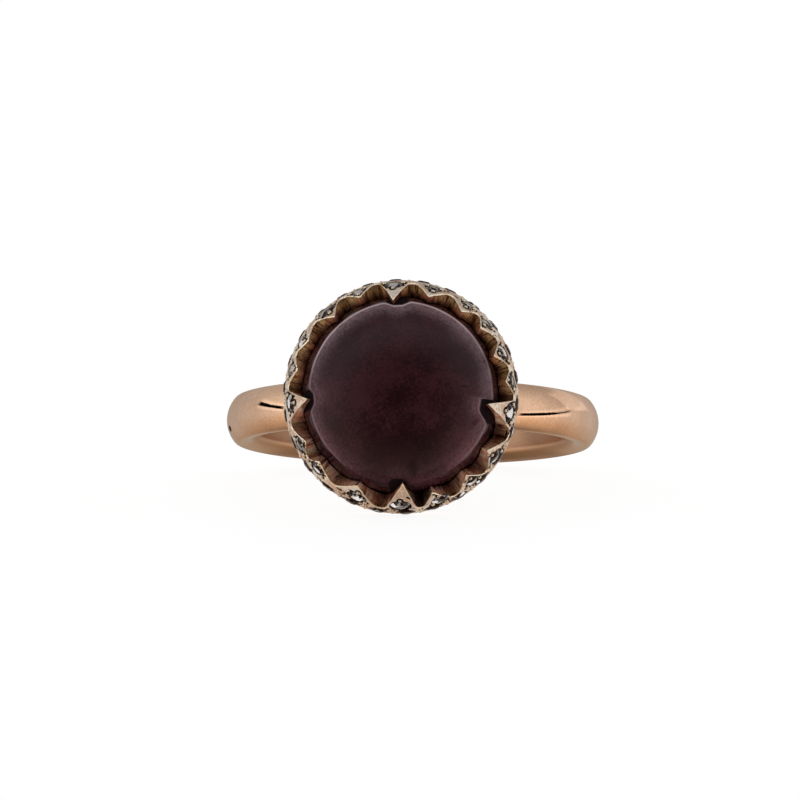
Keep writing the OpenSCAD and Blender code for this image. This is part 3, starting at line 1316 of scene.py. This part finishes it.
# %% The garnet's body
garnet_material, bench = new_material(
    "garnet", IOR=1.34, Specular_Tint=rgb(1.0, 0.72, 0.80)
)
clouds_per_m = 480.0
cloud = noise(bench, clouds_per_m, 4.0, Roughness=0.6)
fleck = noise(bench, 2500.0, 3.0)
fine = noise(bench, 7000.0, 3.0)
mottling = bench.between(cloud * 0.6 + fine * 0.4, 0.40, 0.62)
body = bench.mix(mottling, rgb(0.018, 0.005, 0.0066), rgb(0.048, 0.0135, 0.0175))
in_stone = bench.note("place_in_garnet", "Vector")
across, height = bench.one_way(in_stone, "X"), bench.one_way(in_stone, "Y")
print("clouds in the garnet are about", round(1000 / clouds_per_m), "mm across")

# %% [markdown]
# Each prong stands over the stone, and its dark underside shows in the polish as a dent in the
# stone's outline. That dent is painted here, as a painted reflection of the prong. A dent is a
# shade that starts to one side of the prong, is full, fades and ends to the other, all in stone
# radii. How far it reaches in is added to the distance from the middle, so everything that
# follows the outline bends round the prongs by itself.

# %% Shades under the four prongs
prong_shades = [
    (93.7, (-0.173, -0.053, 0.007, 0.127), 0.05),
    (185.7, (-0.15, -0.04, 0.02, 0.13), 0.055),
    (273.4, (-0.195, -0.115, -0.035, 0.045), 0.05),
    (-8.5, (-0.21, -0.05, 0.045, 0.075), 0.11),
]
shade_depth = 0.0
for prong_angle, (start, full, fading, end), reach in prong_shades:
    c, s = math.cos(math.radians(prong_angle)), math.sin(math.radians(prong_angle))
    to_side = height * c - across * s
    at_prong = bench.between(across * c + height * s, 0.5, 0.6)
    shade = bench.between(to_side, start, full) * (1 - bench.between(to_side, fading, end))
    shade_depth = shade_depth + shade * at_prong * reach
# The painted prong shades bend the painted sheen and highlight round each prong.
out_to_edge = bench.length(in_stone) + shade_depth
print(len(prong_shades), "prongs shade the stone")

# %% [markdown]
# Near its outline the dome turns steep, and there a plum sheen is painted, standing in for the
# light that the thin edge of the stone gives back. The painted sheen is strongest at the top,
# where most light comes in, and browner below. A fine painted highlight runs along the outline
# too, and beyond it the stone dips into the dark of its seat.

# %% Painted sheen and highlight at the garnet's edge
sheen_from, sheen_full = 0.66, 0.94
line_from, line_full = 0.915, 0.927
toward_edge = bench.between(out_to_edge, sheen_from, sheen_full)
above_seat = 1 - bench.between(out_to_edge, 0.929, 0.946)
lit_sides = bench.between(height + across * across * 0.9, -0.8, -0.2)
lit_top = bench.between(height, 0.2, 0.75)
lit = 0.1 + lit_sides * 0.26 + lit_top * 0.43
speckle = 0.7 + bench.between(fine, 0.35, 0.65) * 0.6
# Painted sheen at the stone's edge, lit most at the top.
edge_sheen = toward_edge**3 * 0.5 * lit * above_seat * speckle
sheen_colour = bench.mix(
    bench.between(height, -0.5, 0.5), rgb(0.48, 0.22, 0.245), rgb(0.55, 0.36, 0.41)
)
line_sides = bench.between(height + across * across, -0.6, 0.2)
line_top = bench.between(height - across * 0.15, 0.1, 0.8)
line_lit = line_top * 0.68 + line_sides * 0.12
# Painted highlight along the stone's outline.
edge_highlight = bench.between(out_to_edge, line_from, line_full) * above_seat * line_lit
print("the edge glows from", sheen_from, "of the radius on, with a line at", line_full)

# %% [markdown]
# Two patches of painted sheen lie on the right, two small dark blots are painted into the
# stone, and its lower part is painted in shade, where the prong keeps the light out. All are
# soft spots, given by a middle and a half size in stone radii.

# %% Painted sheen, blots and painted shade in the garnet
def spot(middle, half_size):
    """A soft patch in the stone, from 0 outside it to 1 in its middle."""
    spread = bench.away(in_stone, (*middle, 0), (*half_size, 1))
    return 1 - bench.between(spread, 0.4, 1.3)


# Painted sheen: two lighter patches on the right.
sheen = spot((0.62, 0.60), (0.16, 0.14)) * 0.05 + spot((0.86, 0.08), (0.07, 0.16)) * 0.05
blots = spot((0.66, 0.035), (0.045, 0.012)) + spot((0.14, -0.79), (0.055, 0.09))
# Painted shade on the lower part of the stone.
dusk = spot((0.0, -0.64), (0.5, 0.24)) * 0.6
print("two patches of haze, two feathers and one of dusk")

# %% [markdown]
# The layers are laid one over the other: painted shade on the body, then painted sheen, the
# painted highlight, and last the blots and the painted shade under the prongs. Under the prongs
# the polish is dulled too, so that nothing shines there.

# %% Garnet
colour = bench.mix(dusk, body, rgb(0.004, 0.001, 0.0015))
colour = bench.mix(edge_sheen + sheen, colour, sheen_colour)
colour = bench.mix(edge_highlight * 0.8, colour, rgb(1.0, 0.80, 0.84))
# Painted shade under the prongs, where their dents reach the outline.
shade_under_prong = bench.between(out_to_edge, 0.93, 0.95) * bench.between(shade_depth, 0.004, 0.02)
blots_and_prong_shade = blots * 0.8 + shade_under_prong * 0.9
bench.finish(
    Base_Color=bench.mix(blots_and_prong_shade, colour, rgb(0.003, 0.001, 0.001)),
    Roughness=0.10 + fleck * 0.06 + shade_under_prong * 0.8,
)
garnet.data.materials.append(garnet_material)
print("garnet on", garnet.name)

# %% [markdown]
# The diamonds take their colour from the painted light of each facet, its painted shade or
# painted flash, under a hard clear surface. Clear glass would show the gold below them, which the
# deep seats hide. What they mirror is tinted warm, because the gold round each stone fills its
# reflections.

# %% Diamond
diamond_material, bench = new_material(
    "diamond", IOR=1.7, Roughness=0.03, Specular_IOR_Level=0.1, Specular_Tint=rgb(1.0, 0.70, 0.62)
)
# Painted seat shade and painted flash, chosen by each facet's note.
seat_shade, flash_highlight = rgb(0.012, 0.003, 0.002), rgb(1, 0.94, 0.89)
bench.finish(Base_Color=bench.mix(bench.note("facet_tone"), seat_shade, flash_highlight))
for row_name in row_seats:
    bpy.data.objects[row_name].data.materials.append(diamond_material)
print("diamond on both rows")

# %% [markdown]
# The picture was taken straight on to the setting, through a long lens, a little below the
# head's axis. These few numbers were found by laying the model over the picture: the distance,
# the two angles, the roll and how many pixels of the 800 make a millimetre. Blender's Standard
# view shows the paper's white as white.

# %% Camera
view_distance = 350.0
view_side, view_down, view_roll = math.radians(3.22), math.radians(6.85), math.radians(-0.57)
pixels_per_mm = 17.70
picture_size = 800
ring_centre_px = (412.97, 422.29)
sensor_w = 36
nearest, furthest = 0.01, 4

to_lens = Vector(turn_down([
    math.sin(view_side) * math.cos(view_down),
    -math.sin(view_down),
    math.cos(view_side) * math.cos(view_down),
]))
level_right = Vector(turn_down([0, 1, 0])).cross(to_lens).normalized()
level_up = to_lens.cross(level_right)
right = level_right * math.cos(view_roll) - level_up * math.sin(view_roll)
up = level_right * math.sin(view_roll) + level_up * math.cos(view_roll)
off_right = (picture_size / 2 - ring_centre_px[0]) / pixels_per_mm
off_up = (ring_centre_px[1] - picture_size / 2) / pixels_per_mm

camera = bpy.data.objects.new("camera", bpy.data.cameras.new("camera"))
camera.data.sensor_width = sensor_w
camera.data.lens = sensor_w * pixels_per_mm * view_distance / picture_size
camera.data.clip_start, camera.data.clip_end = nearest, furthest
stand = Vector(hole_centre) + MM * (
    to_lens * view_distance + level_right * off_right + level_up * off_up
)
camera.matrix_world = Matrix((right, up, to_lens)).transposed().to_4x4()
camera.matrix_world.translation = stand
bpy.context.scene.collection.objects.link(camera)
bpy.context.scene.camera = camera
bpy.context.scene.view_settings.view_transform = "Standard"
print("lens", round(camera.data.lens), "mm, camera", round(1000 * stand.z), "mm above the table")

# %% [markdown]
# Polished metal and a dark stone are pictures of the room. In the photo the room is a white
# tent that is open towards the lens: dark in front, brightest beside the lens and greyer towards
# the back. Its ceiling and floor are dimmer than its sides. The world draws that tent by
# direction: how far it points at the lens, up, and to the right.

# %% The tent of light
def along_axis(bench, axis):
    """How far each direction of the world points along an axis, from -1 to 1."""
    ray = bench.add("TexCoord", {}, out="Generated")
    return bench.vector_sum("DOT_PRODUCT", ray, tuple(axis), out="Value")


tent_by_facing = [
    (-1.0, 0.46), (-0.88, 0.53), (-0.4, 0.66), (-0.1, 0.84), (0.12, 0.97), (0.35, 0.95),
    (0.50, 0.74), (0.65, 0.42), (0.85, 0.10), (1.0, 0.05),
]
world = bpy.data.worlds.new("tent")
bpy.context.scene.world = world
world.use_nodes = True
bench = Bench(world.node_tree, "Background")
facing = along_axis(bench, to_lens)
rising = along_axis(bench, up)
sideways = along_axis(bench, right)
stops = [((f + 1) / 2, rgb(b, b, b)) for f, b in tent_by_facing]
sides = bench.add("ValToRGB", {"stops": stops}, facing * 0.5 + 0.5)
floor = bench.between(rising, 0.05, -0.3) * (1 - bench.between(facing, 0.1, 0.45) * 0.6)
ceiling = 0.5 - bench.between(facing, 0.08, 0.3) * 0.45
tent = sides * (1 - rising * rising * (ceiling + floor * 0.4))
print("tent from", tent_by_facing[0][1], "behind to", tent_by_facing[-1][1], "in front")

# %% [markdown]
# The tent's sides are two sheets, one above the other, with a narrow dark slit between them.
# The slit shows on the polished shank as a thin dark line on either side of the bowl, and the
# plane it lies in was worked out from where that line runs on the round of the shank. The upper
# sheet is the brighter one on the left, and the lower sheet on the right.

# %% The two sheets and the plane of the slit
slit_normal = turn_down([0.104, 0.829, 0.544])
slit_offset = 0.043
past_slit = along_axis(bench, slit_normal) + slit_offset
lower_sheet = bench.between(past_slit, 0.03, -0.03)
to_right = bench.between(sideways, 0.0, 0.4)
by_sheet = 0.92 - lower_sheet * 0.05 + to_right * (lower_sheet * 0.22 - 0.10)
tent = tent * by_sheet
off_plane = round(math.degrees(math.asin(slit_offset)), 1)
print("the slit lies", off_plane, "degrees off a plane through the ring")

# %% [markdown]
# The slit is there on the sides only. It widens a little towards the lens and narrows on the
# right towards the back, and the edges of the sheets beside it are bright. One more pale sheet
# hangs on the right, behind the ring and a little above it, and the round of the shank shows it
# as a light patch.

# %% The dark slit and the pale sheet
slit_half, slit_edge = 0.038, 0.056
off_slit = bench.add("Math", {"operation": "ABSOLUTE"}, past_slit)
narrow_behind = to_right * bench.between(facing, -0.05, -0.42) * 2.5
narrowing = 1 + narrow_behind - bench.between(facing, -0.1, 0.15) * 0.3
in_slit = 1 - bench.between(off_slit * narrowing, slit_half, slit_edge)
beside_slit = bench.between(off_slit, 0.04, 0.07) * (1 - bench.between(off_slit, 0.08, 0.17))
open_end = bench.between(facing - sideways * 0.15, 0.16, 0.24)
on_sides = bench.between(facing, -0.45, -0.38) * (1 - open_end)
tent = tent * (1 + (beside_slit * 0.4 - in_slit) * on_sides)
sheet_behind = bench.between(facing, -0.36, -0.42) * bench.between(facing, -0.85, -0.75)
sheet_high = bench.between(rising, 0.10, 0.16) * (1 - bench.between(rising, 0.5, 0.6))
pale_sheet = sheet_behind * to_right * sheet_high
print("the slit is about", round(math.degrees(2 * slit_half), 1), "degrees wide")

# %% [markdown]
# The lens itself sees plain white paper behind the ring. Light from below and from the far back
# is warmer than the rest, as it is in a room whose table and walls are not quite white.

# %% Light and tint of the world
paper = 0.985
seen = bench.add("LightPath", {}, out="Is Camera Ray")
light = tent * (1 + pale_sheet * 0.5) * (1 - seen) + seen * paper
behind = bench.between(facing, -0.8, -0.97)
warmth = (bench.between(rising, -0.05, -0.6) + behind * 0.7) * (1 - seen)
tint = bench.mix(warmth * (1 - pale_sheet), rgb(1, 1, 1), rgb(1.0, 0.81, 0.62))
bench.finish(Strength=light, Color=tint)
print("the paper is", paper, "of full white")

# %% [markdown]
# The ring lies on a pale light table. The table glows a little, so it stays as white as the
# paper behind it and shows only a soft shadow where the ring touches. It is hidden from
# mirror-like rays, so that the gold and the stone reflect the tent and nothing else.

# %% Light table
table_r, table_sides = 1.2, 96
table_mesh = bpy.data.meshes.new("light_table")
table_shape = bmesh.new()
bmesh.ops.create_circle(table_shape, cap_ends=True, segments=table_sides, radius=table_r)
table_shape.to_mesh(table_mesh)
table_shape.free()
table = bpy.data.objects.new("light_table", table_mesh)
bpy.context.scene.collection.objects.link(table)
table.visible_glossy = False
table.visible_transmission = False
table_material, bench = new_material(
    "light_table", Base_Color=rgb(0.16, 0.16, 0.16), Roughness=0.9,
    Emission_Color=rgb(1, 1, 1), Emission_Strength=0.9,
)
table_mesh.materials.append(table_material)
print("table", 2 * table_r, "m across, at a height of", table.location.z)
